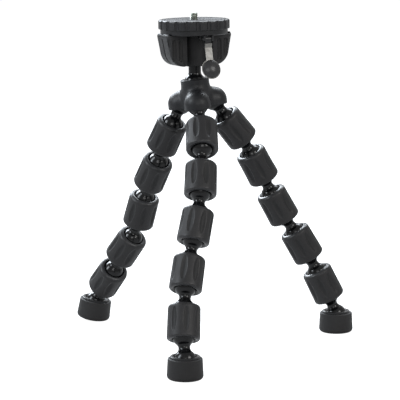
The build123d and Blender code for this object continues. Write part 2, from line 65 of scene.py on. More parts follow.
# Camera and light
cameraSizes = {
    "side": 2.0,          # right of the hub's middle
    "back": 1732.6,       # in front of the hub's middle
    "height": 379.8,      # above the floor
    "pitch": 8.67,        # degrees down
    "lens": 199.8,
    "sensor": 36,
    "clip": (0.05, 50),   # metres
}
cameraData = bpy.data.cameras.new("camera")
cameraData.lens = cameraSizes["lens"]
cameraData.sensor_width = cameraSizes["sensor"]
cameraData.clip_start, cameraData.clip_end = cameraSizes["clip"]
camera = bpy.data.objects.new("camera", cameraData)
camera.location = (
    hubCentre.x + cameraSizes["side"] * mm,
    hubCentre.y - cameraSizes["back"] * mm,
    cameraSizes["height"] * mm,
)
camera.rotation_euler = (math.radians(90 - cameraSizes["pitch"]), 0, 0)
scene.collection.objects.link(camera)
scene.camera = camera
scene.view_settings.view_transform = "Standard"

lampPlan = {
    # name: place in metres, size in metres, power in watts, colour
    "leftBox": ((-1.25, -0.35, 0.95), (0.5, 0.8), 16, (0.88, 0.94, 1.0)),
    "rightBox": ((1.05, -0.85, 0.9), (0.6, 0.6), 9, (1.0, 0.99, 0.97)),
    "backLeft": ((-0.85, 1.35, 1.0), (1.0, 0.6), 34, (0.86, 0.93, 1.0)),
    "backTop": ((0.05, 1.25, 1.35), (1.4, 0.6), 28, (0.88, 0.94, 1.0)),
    "backLow": ((0.1, 1.9, 0.66), (1.7, 0.36), 0.9, (0.93, 0.96, 1.0)),
    "frontFill": ((0.1, -1.8, 0.9), (0.8, 0.6), 6, (1.0, 1.0, 1.0)),
}
lampAim = Vector((0, 0, 0.12))      # every lamp points here, in metres
for name, (place, size, power, colour) in lampPlan.items():
    lampData = bpy.data.lights.new(name, "AREA")
    lampData.shape = "RECTANGLE"
    lampData.size, lampData.size_y = size
    lampData.energy = power
    lampData.color = colour
    lamp = bpy.data.objects.new(name, lampData)
    lamp.location = place
    lamp.rotation_euler = (lampAim - Vector(place)).to_track_quat("-Z", "Y").to_euler()
    scene.collection.objects.link(lamp)
print("camera and lamps placed")


# Shader helpers
def addNode(tree, kind, **values):
    node = tree.nodes.new(kind)
    for key, value in values.items():
        setattr(node, key, value)
    return node


def setInputs(node, **values):
    # "Base_Color" stands for the socket "Base Color"
    for key, value in values.items():
        node.inputs[key.replace("_", " ")].default_value = value
    return node


def mathNode(tree, operation, first, second=None, third=None, clamp=False):
    # Each of the three is a socket, which is linked, or a number, which is set
    node = addNode(tree, "ShaderNodeMath", operation=operation, use_clamp=clamp)
    for index, value in enumerate((first, second, third)):
        if value is None:
            continue
        if isinstance(value, (int, float)):
            node.inputs[index].default_value = value
        else:
            tree.links.new(value, node.inputs[index])
    return node.outputs[0]


def vectorNode(tree, operation, first, second):
    # first is a socket; second is a socket or a fixed vector
    node = addNode(tree, "ShaderNodeVectorMath", operation=operation)
    tree.links.new(first, node.inputs[0])
    if isinstance(second, bpy.types.NodeSocket):
        tree.links.new(second, node.inputs[1])
    else:
        node.inputs[1].default_value = second
    return node.outputs[0]


def newGroup(name, inputs, outputs):
    group = bpy.data.node_groups.new(name, "ShaderNodeTree")
    for socketName, socketType, value in inputs:
        socket = group.interface.new_socket(socketName, in_out="INPUT", socket_type=socketType)
        if value is not None:
            socket.default_value = value
    for socketName, socketType in outputs:
        group.interface.new_socket(socketName, in_out="OUTPUT", socket_type=socketType)
    return group, group.nodes.new("NodeGroupInput"), group.nodes.new("NodeGroupOutput")


def noiseFrom(tree, vector, size, detail=2.0, roughness=0.5):
    # Noise whose lumps are about size metres across; size is a socket or a number
    noise = addNode(tree, "ShaderNodeTexNoise")
    setInputs(noise, Detail=detail, Roughness=roughness)
    tree.links.new(vector, noise.inputs["Vector"])
    tree.links.new(mathNode(tree, "DIVIDE", 1.0, size), noise.inputs["Scale"])
    return noise.outputs["Fac"]


grainMix = {
    "fineDetail": 3.0, "fineRough": 0.6, "fineShare": 0.6,
    "pitSpacing": 0.8, "pitSoft": 0.6, "pitShare": 0.5,
    "mottleDetail": 4.0, "mottleRough": 0.55, "mottleGain": 2.4, "mottleShift": -0.7,
    "cloudSpread": 5.0, "cloudDetail": 1.0, "cloudGain": 2.0, "cloudShift": -0.5,
}


def makeGrainGroup():
    # Moulded or blasted skin: a fine height and two soft mottles
    group, source, sink = newGroup(
        "mouldedGrain",
        [("Vector", "NodeSocketVector", None), ("Grain Size", "NodeSocketFloat", 0.0004),
         ("Mottle Size", "NodeSocketFloat", 0.006)],
        [("Height", "NodeSocketFloat"), ("Mottle", "NodeSocketFloat"), ("Cloud", "NodeSocketFloat")],
    )
    sizes = grainMix
    vector, grainSize, mottleSize = source.outputs[:3]
    fine = noiseFrom(group, vector, grainSize, sizes["fineDetail"], sizes["fineRough"])
    pits = addNode(group, "ShaderNodeTexVoronoi", feature="SMOOTH_F1")
    setInputs(pits, Smoothness=sizes["pitSoft"])
    group.links.new(vector, pits.inputs["Vector"])
    group.links.new(mathNode(group, "DIVIDE", sizes["pitSpacing"], grainSize), pits.inputs["Scale"])
    height = mathNode(group, "ADD", mathNode(group, "MULTIPLY", fine, sizes["fineShare"]),
                      mathNode(group, "MULTIPLY", pits.outputs["Distance"], sizes["pitShare"]))
    mottle = noiseFrom(group, vector, mottleSize, sizes["mottleDetail"], sizes["mottleRough"])
    mottle = mathNode(group, "MULTIPLY_ADD", mottle, sizes["mottleGain"], sizes["mottleShift"], clamp=True)
    cloudSize = mathNode(group, "MULTIPLY", mottleSize, sizes["cloudSpread"])
    cloud = noiseFrom(group, vector, cloudSize, sizes["cloudDetail"])
    cloud = mathNode(group, "MULTIPLY_ADD", cloud, sizes["cloudGain"], sizes["cloudShift"], clamp=True)
    group.links.new(height, sink.inputs["Height"])
    group.links.new(mottle, sink.inputs["Mottle"])
    group.links.new(cloud, sink.inputs["Cloud"])
    return group


scuffMix = {"lineGain": 8.0, "lineShift": -4.6, "patchSpread": 30.0, "patchGain": 5.0, "patchShift": -2.4}


def makeScuffGroup():
    # Fine hairline scuffs, drawn out along Z, that come and go in patches
    group, source, sink = newGroup(
        "hairScuffs",
        [("Vector", "NodeSocketVector", None), ("Width", "NodeSocketFloat", 0.0002),
         ("Stretch", "NodeSocketFloat", 14.0), ("Amount", "NodeSocketFloat", 0.5)],
        [("Mask", "NodeSocketFloat"), ("Height", "NodeSocketFloat")],
    )
    sizes = scuffMix
    vector, width, stretch, amount = source.outputs[:4]
    squeeze = addNode(group, "ShaderNodeCombineXYZ")
    setInputs(squeeze, X=1.0, Y=1.0)
    group.links.new(mathNode(group, "DIVIDE", 1.0, stretch), squeeze.inputs["Z"])
    lines = noiseFrom(group, vectorNode(group, "MULTIPLY", vector, squeeze.outputs[0]), width)
    patches = noiseFrom(group, vector, mathNode(group, "MULTIPLY", width, sizes["patchSpread"]))
    sharp = mathNode(group, "MULTIPLY_ADD", lines, sizes["lineGain"], sizes["lineShift"], clamp=True)
    where = mathNode(group, "MULTIPLY_ADD", patches, sizes["patchGain"], sizes["patchShift"], clamp=True)
    mask = mathNode(group, "MULTIPLY", mathNode(group, "MULTIPLY", sharp, where), amount)
    group.links.new(mask, sink.inputs["Mask"])
    group.links.new(mathNode(group, "MULTIPLY", mask, -1.0), sink.inputs["Height"])
    return group


wearAndHighlightMix = {
    "detail": 4.0, "rough": 0.65, "edgeGain": 1.1,
    "patchGain": 1.4, "patchShift": -1.2, "contrast": 1.6,
}


def makeWearAndHighlightGroup():
    # Breaks a smooth edge mask into worn patches; on the sleeves the mask also carries a painted highlight
    # along the grooves' lips
    group, source, sink = newGroup(
        "edgeWearAndHighlight",
        [("Vector", "NodeSocketVector", None), ("Edge", "NodeSocketFloat", 0.0),
         ("Patch Size", "NodeSocketFloat", 0.002), ("Amount", "NodeSocketFloat", 0.5)],
        [("Wear", "NodeSocketFloat")],
    )
    sizes = wearAndHighlightMix
    vector, edge, patchSize, amount = source.outputs[:4]
    patches = noiseFrom(group, vector, patchSize, sizes["detail"], sizes["rough"])
    rubbed = mathNode(group, "ADD", mathNode(group, "MULTIPLY", edge, sizes["edgeGain"]),
                      mathNode(group, "MULTIPLY_ADD", patches, sizes["patchGain"], sizes["patchShift"]))
    strong = mathNode(group, "MULTIPLY", rubbed, sizes["contrast"], clamp=True)
    group.links.new(mathNode(group, "MULTIPLY", strong, amount), sink.inputs["Wear"])
    return group


dustMix = {
    "upGain": 0.75, "upShift": 0.25, "detail": 3.0,
    "speckSize": 0.6, "speckRough": 0.7, "speckGain": 2.2, "speckShift": -0.75, "cloudSize": 12.0,
}


def makeDustGroup():
    # A thin film of dust that settles on what faces up, in soft specks and clouds
    group, source, sink = newGroup(
        "dustFilm",
        [("Vector", "NodeSocketVector", None), ("Normal", "NodeSocketVector", None),
         ("Amount", "NodeSocketFloat", 0.3)],
        [("Dust", "NodeSocketFloat")],
    )
    sizes = dustMix
    vector, normal, amount = source.outputs[:3]
    parts = addNode(group, "ShaderNodeSeparateXYZ")
    group.links.new(normal, parts.inputs[0])
    upwards = parts.outputs["Z"]
    facingUp = mathNode(group, "MULTIPLY_ADD", upwards, sizes["upGain"], sizes["upShift"], clamp=True)
    specks = noiseFrom(group, vector, sizes["speckSize"] * mm, sizes["detail"], sizes["speckRough"])
    specks = mathNode(group, "MULTIPLY_ADD", specks, sizes["speckGain"], sizes["speckShift"], clamp=True)
    clouds = noiseFrom(group, vector, sizes["cloudSize"] * mm, sizes["detail"])
    film = mathNode(group, "MULTIPLY", specks, clouds)
    dust = mathNode(group, "MULTIPLY", mathNode(group, "MULTIPLY", film, facingUp), amount)
    group.links.new(dust, sink.inputs["Dust"])
    return group


shared = {
    "grain": makeGrainGroup(),
    "scuffs": makeScuffGroup(),
    "wearAndHighlight": makeWearAndHighlightGroup(),
    "dust": makeDustGroup(),
}


def effectNode(tree, key, vector, **values):
    node = addNode(tree, "ShaderNodeGroup", node_tree=shared[key])
    tree.links.new(vector, node.inputs["Vector"])
    return setInputs(node, **values)


def mixColour(tree, factor, first, second):
    # Each is a socket, or a number for the factor and three numbers for a colour. A Mix node's
    # colours are its inputs 6 and 7, and its output 2.
    node = addNode(tree, "ShaderNodeMix", data_type="RGBA")
    for index, value in ((0, factor), (6, first), (7, second)):
        if isinstance(value, bpy.types.NodeSocket):
            tree.links.new(value, node.inputs[index])
        elif index == 0:
            node.inputs[index].default_value = value
        else:
            node.inputs[index].default_value = (*value, 1)
    return node.outputs[2]


def maskFrom(tree, attribute):
    return addNode(tree, "ShaderNodeAttribute", attribute_name=attribute).outputs["Fac"]


# How strongly each shared effect acts, the same in every material
effects = {
    "cloudShare": 0.5,
    "brushStretch": 40.0, "brushHeight": 0.5, "brushRough": 0.12,
    "scuffStretch": 9.0, "scuffShare": 0.5, "scuffRough": 0.25, "scuffHeight": 0.3,
    "wearAndHighlightSize": 1.5,
    # Painted shade in grooves and hollows: its share and roughness
    "hollowShadeShare": 0.7, "hollowShadeRough": 0.08,
    # Painted shade over the head's middle between the grips: its fade, share, roughness and colour
    "coreFade": 4, "coreShare": 0.75, "coreRough": 0.35, "coreColour": (0.002, 0.002, 0.0022),
    "dustRough": 0.5, "dustColour": (0.30, 0.29, 0.27),
}

# What a material has unless its own look says otherwise
plainLook = {
    "metal": 0.0, "specular": 0.5, "bumpDepth": 0.03, "scuffWidth": 0.12,
    "brushed": 0, "scuffs": 0, "edge": "", "hollowShade": "", "core": 0, "dust": 0,
}


def headCoreShade(tree, vector, radius):
    # Painted shade: 1 inside a cylinder of this radius round the head's axis, fading out towards its wall
    away = vectorNode(tree, "SUBTRACT", vector, jointPlace("head_pan"))
    swept = vectorNode(tree, "CROSS_PRODUCT", away, jointAxis("head_pan"))
    reach = addNode(tree, "ShaderNodeVectorMath", operation="LENGTH")
    tree.links.new(swept, reach.inputs[0])
    fade = effects["coreFade"]
    slope = -1 / (fade * mm)
    return mathNode(tree, "MULTIPLY_ADD", reach.outputs["Value"], slope, radius / fade, clamp=True)


def makeFinish(name, ownLook):
    # One material. The look gives the base colour, the tones it mottles to, roughness and relief,
    # and which shared effects lie over them.
    look = {**plainLook, **ownLook}
    material = bpy.data.materials.new(name)
    material.use_nodes = True
    tree = material.node_tree
    tree.nodes.clear()
    output = addNode(tree, "ShaderNodeOutputMaterial")
    shader = addNode(tree, "ShaderNodeBsdfPrincipled")
    tree.links.new(shader.outputs[0], output.inputs[0])
    coordinates = addNode(tree, "ShaderNodeTexCoord")
    vector = coordinates.outputs["Object"]

    def scaled(socket, share):
        return mathNode(tree, "MULTIPLY", socket, share)

    def added(value, socket, share):
        return mathNode(tree, "MULTIPLY_ADD", socket, share, value)

    grain = effectNode(tree, "grain", vector, Grain_Size=look["grainSize"] * mm,
                  Mottle_Size=look["mottleSize"] * mm)
    colour = mixColour(tree, grain.outputs["Mottle"], look["colour"], look["mottle"])
    colour = mixColour(tree, scaled(grain.outputs["Cloud"], effects["cloudShare"]), colour, look["cloud"])
    roughness = added(look["rough"], grain.outputs["Mottle"], look["roughSpread"])
    height = scaled(grain.outputs["Height"], look["relief"])

    if look["brushed"]:
        brushing = effectNode(tree, "scuffs", vector, Width=look["brushed"] * mm,
                         Stretch=effects["brushStretch"], Amount=1.0)
        height = added(height, brushing.outputs["Height"], effects["brushHeight"])
        roughness = added(roughness, brushing.outputs["Mask"], effects["brushRough"])
    if look["scuffs"]:
        scuffs = effectNode(tree, "scuffs", vector, Width=look["scuffWidth"] * mm,
                       Stretch=effects["scuffStretch"], Amount=look["scuffs"])
        mask = scuffs.outputs["Mask"]
        colour = mixColour(tree, scaled(mask, effects["scuffShare"]), colour, look["worn"])
        roughness = added(roughness, mask, effects["scuffRough"])
        height = added(height, scuffs.outputs["Height"], effects["scuffHeight"])
    # Edge wear, lightened in patches towards the worn colour; on the sleeves it also paints a highlight
    # along the grooves' lips
    if look["edge"]:
        edge = maskFrom(tree, look["edge"])
        wearAndHighlight = effectNode(tree, "wearAndHighlight", vector, Patch_Size=effects["wearAndHighlightSize"] * mm, Amount=look["wearAndHighlight"])
        tree.links.new(edge, wearAndHighlight.inputs["Edge"])
        colour = mixColour(tree, wearAndHighlight.outputs["Wear"], colour, look["worn"])
        roughness = added(roughness, edge, look["edgeRough"])
    # Painted shade: the hollow mask darkens grooves, flutes and the screw's foot towards the hollow colour
    if look["hollowShade"]:
        hollowShade = maskFrom(tree, look["hollowShade"])
        colour = mixColour(tree, scaled(hollowShade, effects["hollowShadeShare"]), colour, look["hollowShadeColour"])
        roughness = added(roughness, hollowShade, effects["hollowShadeRough"])
    # Painted shade: the head's middle between the grips is darkened and made rougher
    if look["core"]:
        inCoreShade = headCoreShade(tree, vector, look["core"])
        colour = mixColour(tree, scaled(inCoreShade, effects["coreShare"]), colour, effects["coreColour"])
        roughness = added(roughness, inCoreShade, effects["coreRough"])
    if look["dust"]:
        dust = effectNode(tree, "dust", vector, Amount=look["dust"])
        tree.links.new(coordinates.outputs["Normal"], dust.inputs["Normal"])
        colour = mixColour(tree, dust.outputs["Dust"], colour, effects["dustColour"])
        roughness = added(roughness, dust.outputs["Dust"], effects["dustRough"])

    bump = addNode(tree, "ShaderNodeBump")
    setInputs(bump, Strength=look["bump"], Distance=look["bumpDepth"] * mm)
    tree.links.new(height, bump.inputs["Height"])
    tree.links.new(bump.outputs[0], shader.inputs["Normal"])
    tree.links.new(colour, shader.inputs["Base Color"])
    tree.links.new(mathNode(tree, "MULTIPLY", roughness, 1.0, clamp=True), shader.inputs["Roughness"])
    setInputs(shader, Metallic=look["metal"], Specular_IOR_Level=look["specular"])
    return material


# Sizes in a look are millimetres. The edge and hollow entries name an attribute of the piece, and the
# hollow one is darkened as painted shade;
# worn is the colour of its scuffs and worn edges, and on the sleeves also of a painted highlight along the
# grooves' lips; the core entry is the radius of the head's middle, darkened as painted shade.
looks = {
    "sleeveRubber": {
        "colour": (0.0125, 0.0121, 0.0128), "mottle": (0.0172, 0.0166, 0.0174),
        "cloud": (0.0093, 0.0089, 0.0096), "worn": (0.075, 0.077, 0.082),
        "grainSize": 0.32, "mottleSize": 4.5, "rough": 0.47, "roughSpread": 0.10, "relief": 1.0,
        # the edge mask below is edge wear at the ends and a painted highlight along the grooves' lips
        "bump": 0.5, "bumpDepth": 0.05, "edge": "rim", "wearAndHighlight": 0.4, "edgeRough": -0.22,
        # the hollow colour below is painted shade in the grooves
        "hollowShade": "groove", "hollowShadeColour": (0.010, 0.0105, 0.011), "dust": 0.05, "specular": 0.32,
    },
    "linkGloss": {
        "colour": (0.0030, 0.0031, 0.0037), "mottle": (0.0042, 0.0044, 0.005),
        "cloud": (0.0025, 0.0025, 0.003), "worn": (0.07, 0.07, 0.075),
        "grainSize": 0.5, "mottleSize": 6.0, "rough": 0.15, "roughSpread": 0.05, "relief": 0.25,
        "bump": 0.12, "scuffs": 0.55, "scuffWidth": 0.10, "dust": 0.02, "specular": 0.3,
    },
    "hubSatin": {
        "colour": (0.009, 0.0094, 0.011), "mottle": (0.0125, 0.013, 0.0145),
        "cloud": (0.0072, 0.0076, 0.009), "worn": (0.085, 0.085, 0.09),
        "grainSize": 0.26, "mottleSize": 7.0, "rough": 0.40, "roughSpread": 0.08, "relief": 1.0,
        "bump": 0.35, "scuffs": 0.4, "scuffWidth": 0.16, "dust": 0.05, "specular": 0.26,
    },
    "gripSatin": {
        "colour": (0.0115, 0.0112, 0.0118), "mottle": (0.016, 0.0156, 0.0163),
        "cloud": (0.0088, 0.0086, 0.0092), "worn": (0.06, 0.06, 0.062),
        "grainSize": 0.30, "mottleSize": 5.0, "rough": 0.46, "roughSpread": 0.08, "relief": 1.0,
        "bump": 0.5, "edge": "rim", "wearAndHighlight": 0.25, "edgeRough": -0.1,
        # the hollow colour below is painted shade in the flutes and the seam
        "hollowShade": "groove", "hollowShadeColour": (0.006, 0.006, 0.006),
        "scuffs": 0.35, "scuffWidth": 0.16, "dust": 0.08, "specular": 0.28,
    },
    "wheelSatin": {
        "colour": (0.008, 0.0083, 0.0095), "mottle": (0.011, 0.0114, 0.0126),
        "cloud": (0.006, 0.0063, 0.0073), "worn": (0.16, 0.16, 0.17),
        "grainSize": 0.24, "mottleSize": 5.0, "rough": 0.37, "roughSpread": 0.08, "relief": 1.0,
        "bump": 0.35, "scuffs": 0.4, "dust": 0.03, "specular": 0.36,
    },
    "headSatin": {
        "colour": (0.009, 0.0092, 0.0105), "mottle": (0.0125, 0.0128, 0.014),
        "cloud": (0.007, 0.0072, 0.008), "worn": (0.12, 0.12, 0.13),
        "grainSize": 0.24, "mottleSize": 5.0, "rough": 0.30, "roughSpread": 0.08, "relief": 1.0,
        # the core entry below is the radius of the painted shade over the head's middle
        "bump": 0.35, "scuffs": 0.4, "dust": 0.04, "specular": 0.34, "core": 15.0,
    },
    "padRubber": {
        "colour": (0.013, 0.013, 0.0145), "mottle": (0.018, 0.018, 0.0195),
        "cloud": (0.010, 0.010, 0.0115),
        "grainSize": 0.4, "mottleSize": 4.0, "rough": 0.60, "roughSpread": 0.12, "relief": 1.0,
        "bump": 0.4, "dust": 0.12, "specular": 0.35,
    },
    "footRubber": {
        "colour": (0.0138, 0.0133, 0.0137), "mottle": (0.019, 0.0184, 0.0188),
        "cloud": (0.0105, 0.0102, 0.0106), "worn": (0.08, 0.078, 0.076),
        "grainSize": 0.35, "mottleSize": 4.0, "rough": 0.50, "roughSpread": 0.12, "relief": 1.0,
        "bump": 0.55, "bumpDepth": 0.05, "scuffs": 0.3, "scuffWidth": 0.2, "dust": 0.09,
        "specular": 0.28,
    },
    "ringGloss": {
        "colour": (0.008, 0.008, 0.009), "mottle": (0.011, 0.011, 0.012),
        "cloud": (0.006, 0.006, 0.007), "worn": (0.08, 0.08, 0.085),
        "grainSize": 0.3, "mottleSize": 5.0, "rough": 0.26, "roughSpread": 0.08, "relief": 0.6,
        "bump": 0.2, "scuffs": 0.4, "dust": 0.05, "specular": 0.35,
    },
    "screwZinc": {
        "colour": (0.52, 0.55, 0.50), "mottle": (0.40, 0.43, 0.38),
        "cloud": (0.47, 0.51, 0.45), "worn": (0.55, 0.55, 0.52),
        "grainSize": 0.12, "mottleSize": 1.5, "rough": 0.22, "roughSpread": 0.14, "relief": 0.8,
        # the hollow colour below is painted shade at the foot and in the thread's roots
        "bump": 0.25, "hollowShade": "shade", "hollowShadeColour": (0.05, 0.05, 0.05), "metal": 1.0, "scuffs": 0.5,
    },
    "leverSteel": {
        "colour": (0.22, 0.215, 0.205), "mottle": (0.18, 0.175, 0.165),
        "cloud": (0.20, 0.197, 0.187), "worn": (0.4, 0.39, 0.37),
        "grainSize": 0.12, "mottleSize": 2.5, "rough": 0.44, "roughSpread": 0.12, "relief": 0.5,
        "bump": 0.3, "metal": 1.0, "brushed": 0.07, "scuffs": 0.35,
    },
    "innerSteel": {
        "colour": (0.42, 0.42, 0.41), "mottle": (0.34, 0.34, 0.33),
        "cloud": (0.38, 0.38, 0.37),
        "grainSize": 0.15, "mottleSize": 2.0, "rough": 0.34, "roughSpread": 0.14, "relief": 0.6,
        "bump": 0.3, "metal": 1.0, "brushed": 0.08,
    },
    "paddleGloss": {
        "colour": (0.014, 0.014, 0.015), "mottle": (0.019, 0.019, 0.020),
        "cloud": (0.011, 0.011, 0.012), "worn": (0.12, 0.12, 0.125),
        "grainSize": 0.3, "mottleSize": 3.0, "rough": 0.30, "roughSpread": 0.06, "relief": 0.3,
        "bump": 0.15, "scuffs": 0.5, "dust": 0.04, "specular": 0.45,
    },
    "camSatin": {
        "colour": (0.018, 0.018, 0.019), "mottle": (0.025, 0.025, 0.026),
        "cloud": (0.014, 0.014, 0.015), "worn": (0.08, 0.08, 0.08),
        "grainSize": 0.3, "mottleSize": 3.0, "rough": 0.30, "roughSpread": 0.1, "relief": 0.8,
        "bump": 0.35, "scuffs": 0.4, "dust": 0.05, "specular": 0.3,
    },
}
finishes = {name: makeFinish(name, look) for name, look in looks.items()}
print("finishes made:", len(finishes))


# Mesh helpers
def ringFaces(rows, columns):
    # Quads of a grid of rows by columns, its columns joined round
    i, j = np.meshgrid(np.arange(rows - 1), np.arange(columns), indexing="ij")
    k = (j + 1) % columns
    above, below = i * columns, (i + 1) * columns
    return np.stack([above + j, above + k, below + k, below + j], -1).reshape(-1, 4)


def sixVolumes(corners):
    # Six times the signed volume between the origin and triangles: the sum of a . (b x c)
    return np.einsum("ij,ij->i", corners[:, 0], np.cross(corners[:, 1], corners[:, 2])).sum()


def meshFromArrays(name, points, quads, triangles):
    # points in metres; turns the faces over if the closed surface would be inside out
    volume = sixVolumes(points[quads[:, [0, 1, 2]]]) + sixVolumes(points[quads[:, [0, 2, 3]]])
    if volume + sixVolumes(points[triangles]) < 0:
        quads = quads[:, ::-1]
        triangles = triangles[:, ::-1]
    mesh = bpy.data.meshes.new(name)
    mesh.vertices.add(len(points))
    mesh.vertices.foreach_set("co", points.astype(np.float32).ravel())
    loops = np.concatenate([quads.ravel(), triangles.ravel()]).astype(np.int32)
    mesh.loops.add(len(loops))
    mesh.loops.foreach_set("vertex_index", loops)
    starts = np.concatenate([np.arange(len(quads)) * 4, len(quads) * 4 + np.arange(len(triangles)) * 3])
    mesh.polygons.add(len(starts))
    mesh.polygons.foreach_set("loop_start", starts.astype(np.int32))
    mesh.update(calc_edges=True)
    mesh.validate()
    mesh.polygons.foreach_set("use_smooth", np.ones(len(mesh.polygons), bool))
    return mesh


def addPiece(name, mesh, sharpAngle=None):
    # Edges past sharpAngle degrees are shaded sharp
    if sharpAngle:
        mesh.set_sharp_from_angle(angle=math.radians(sharpAngle))
    piece = bpy.data.objects.new(name, mesh)
    scene.collection.objects.link(piece)
    return piece


def columnAngles(columns):
    return np.arange(columns) * 2 * np.pi / columns


def turnedPoints(radius, height, axes):
    # radius and height are grids: rows along the profile, columns round the axis. A point is
    # origin + radius * (cos a * side + sin a * across) + height * along.
    origin, side, along, across = (np.array(axis) for axis in axes)
    angle = columnAngles(radius.shape[1])
    outward = (radius * np.cos(angle))[..., None] * side
    sideways = (radius * np.sin(angle))[..., None] * across
    return origin + outward + sideways + height[..., None] * along


def spreadRound(profile, columns):
    # A profile of radius and height, repeated in every column
    return np.repeat(profile[:, :1], columns, 1), np.repeat(profile[:, 1:], columns, 1)


def poledSurface(name, points, masks, sharpAngle=None):
    # A closed surface from a grid of points whose columns run round; the first and the last
    # row each lie in one point. masks: an attribute's name and its value at each point of the grid.
    rows, columns = points.shape[:2]
    body = points[1:-1].reshape(-1, 3)
    first, last = len(body), len(body) + 1
    j = np.arange(columns)
    k = (j + 1) % columns
    ends = len(body) - columns
    triangles = np.concatenate([
        np.stack([np.full(columns, first), k, j], -1),
        np.stack([np.full(columns, last), ends + j, ends + k], -1),
    ])
    allPoints = np.concatenate([body, points[0, :1], points[-1, :1]])
    mesh = meshFromArrays(name, allPoints, ringFaces(rows - 2, columns), triangles)
    for key, grid in masks.items():
        values = np.concatenate([grid[1:-1].ravel(), grid[0, :1], grid[-1, :1]]).astype(np.float32)
        mesh.attributes.new(key, "FLOAT", "POINT").data.foreach_set("value", values)
    return addPiece(name, mesh, sharpAngle)


def ringSurface(name, points, sharpAngle=None):
    # A closed ring from a grid of points joined both ways round
    rows, columns = points.shape[:2]
    j = np.arange(columns)
    k = (j + 1) % columns
    end = (rows - 1) * columns
    quads = np.concatenate([ringFaces(rows, columns), np.stack([end + j, end + k, k, j], -1)])
    mesh = meshFromArrays(name, points.reshape(-1, 3), quads, np.zeros((0, 3), int))
    return addPiece(name, mesh, sharpAngle)


def smoothStep(value, low, high):
    # 0 up to low, 1 from high on, and 3 share^2 - 2 share^3 between them
    share = np.clip((value - low) / (high - low), 0, 1)
    return share * share * (3 - 2 * share)


def roundedLine(corners, radii, steps, spacing=None):
    # A polyline whose corners are drawn as arcs of the given radii, as an array of points;
    # its straights are divided so that no step is longer than spacing
    corners = [np.array(corner, float) for corner in corners]
    path = [corners[0]]
    for index in range(1, len(corners) - 1):
        before, here, after = corners[index - 1:index + 2]
        inward = (before - here) / np.linalg.norm(before - here)
        outward = (after - here) / np.linalg.norm(after - here)
        half = math.acos(np.clip(inward @ outward, -1, 1)) / 2
        radius = radii[index - 1]
        if radius <= 0:
            path.append(here)
            continue
        reach = radius / math.tan(half)
        middle = here + (inward + outward) / np.linalg.norm(inward + outward) * radius / math.sin(half)
        start, end = here + inward * reach, here + outward * reach
        turn = np.linspace(0, 1, steps + 1)[:, None]
        swing = math.pi - 2 * half
        fromStart = np.sin((1 - turn) * swing) * (start - middle)
        toEnd = np.sin(turn * swing) * (end - middle)
        path.extend((fromStart + toEnd) / math.sin(swing) + middle)
    path.append(corners[-1])
    path = np.array(path)
    if spacing:
        pieces = [path[:1]]
        for start, end in zip(path[:-1], path[1:]):
            count = max(1, math.ceil(np.linalg.norm(end - start) / spacing))
            pieces.append(start + (end - start) * np.linspace(0, 1, count + 1)[1:, None])
        path = np.concatenate(pieces)
    return path


def slotOf(node):
    return frame["nodes"][node].material_slots[0].name


def dress(piece, body, finish, slot, *nodes):
    # nodes are the CAD nodes that the piece stands for
    piece.data.materials.clear()
    piece.data.materials.append(finishes[finish])
    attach(piece, body)
    if nodes:
        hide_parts(*nodes)
    return piece


# Beads
beadSizes = {
    "ball": 8.75, "mouthAngle": 74.0, "mouthSteps": 15, "socketDepth": 3.6, "length": 27.0,
    "topRadius": 12.2, "bottomRadius": 12.6, "topFlare": 0.6, "bottomFlare": 2.0,
    "topRounding": 2.85, "bottomRounding": 1.95, "lipRounding": 0.25, "arcSteps": 9, "spacing": 0.45,
    "grooves": 8, "grooveLength": 18.6, "grooveWidth": 4.4, "grooveDepth": 1.2,
    "grooveCentre": 0.47,                # share of the length
    "grooveTurns": {("front", 3): 0.5, ("front", 4): 0.5, ("front", 5): 0.25},    # share of a pitch
    "groovePower": 0.6,                  # below 1 the groove's walls are steeper
    "wallMargin": 0.6, "topMargin": 1.0,                           # where the barrel's wall starts
    # The lip entries place a painted highlight just outside each groove's edge
    "lipPlace": 1.08, "lipWidth": 0.16, "lipEnd": 0.97, "lipHighlight": 0.55,    # shares of a groove
    "rimWidth": 2.6, "rimMargin": 0.3, "columns": 160,
}


def legAxes(leg, number):
    # Origin and axes of a bead: its upper ball's centre, level side, down its axis, and across
    start = jointPlace(f"{leg}_bead_{number}_bend")
    end = jointPlace(f"{leg}_link_{number + 1}_bend")
    along = (end - start).normalized()
    side = Vector((-along.y, along.x, 0)).normalized()
    return start, side, along, side.cross(along)


def beadProfile():
    # Radius and height from the bottom of the upper socket, round the skin, to the lower socket's
    sizes = beadSizes
    turns = np.linspace(0, math.radians(180 - sizes["mouthAngle"]), sizes["mouthSteps"])
    spacing = sizes["length"] - 2 * sizes["socketDepth"]
    upper = np.stack([sizes["ball"] * np.sin(turns), sizes["ball"] * np.cos(turns)], -1)
    lower = np.stack([sizes["ball"] * np.sin(turns), spacing - sizes["ball"] * np.cos(turns)], -1)[::-1]
    top, bottom = -sizes["socketDepth"], sizes["length"] - sizes["socketDepth"]
    mouthRadius = upper[-1, 0]
    corners = [
        upper[-1], (mouthRadius + sizes["topFlare"], top), (sizes["topRadius"], top),
        (sizes["bottomRadius"], bottom), (mouthRadius + sizes["bottomFlare"], bottom), lower[0],
    ]
    roundings = [sizes["lipRounding"], sizes["topRounding"], sizes["bottomRounding"], sizes["lipRounding"]]
    skin = roundedLine(corners, roundings, sizes["arcSteps"], sizes["spacing"])
    return np.concatenate([upper, skin[1:-1], lower]), mouthRadius, top, bottom


